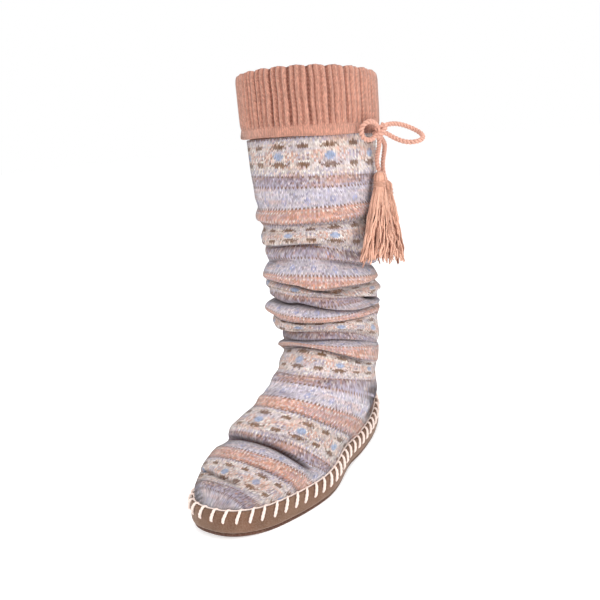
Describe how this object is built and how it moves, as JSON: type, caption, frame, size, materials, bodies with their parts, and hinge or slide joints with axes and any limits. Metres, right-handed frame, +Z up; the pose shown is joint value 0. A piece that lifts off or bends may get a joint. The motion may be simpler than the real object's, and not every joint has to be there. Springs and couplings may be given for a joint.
{
  "type": "slipper sock",
  "caption": "Knee-high knitted slipper sock with a slouched Fair Isle shaft, turned-down ribbed cuff, tasselled tie and a suede cup sole.",
  "frame": {"origin": "on the floor plane, under the middle of the sole's length and width", "axes": "+Z up the shaft, -Y towards the toe, +X towards the outer side of the left foot"},
  "size_m": [0.1561, 0.248, 0.3369],
  "materials": {
    "knit": "Fair Isle knit in marled wool-like yarn",
    "suede": "brushed suede",
    "suede_under": "worn suede",
    "footbed": "brushed fleece",
    "cuff_yarn": "ribbed knit in soft coral yarn",
    "cord_yarn": "two-ply twisted cord",
    "tassel_yarn": "loose plied yarn"
  },
  "bodies": {
    "root": {"outsole": "suede_under", "suede_cup": "suede", "insole": "footbed", "knit_upper": "knit", "rib_cuff": "cuff_yarn", "tie_knot": "cord_yarn", "tie_loop_long": "cord_yarn", "tie_loop_short": "cord_yarn", "tie_end_front": "cord_yarn", "tie_end_back": "cord_yarn", "tassel_front": "tassel_yarn", "tassel_back": "tassel_yarn"}
  },
  "joints": []
}
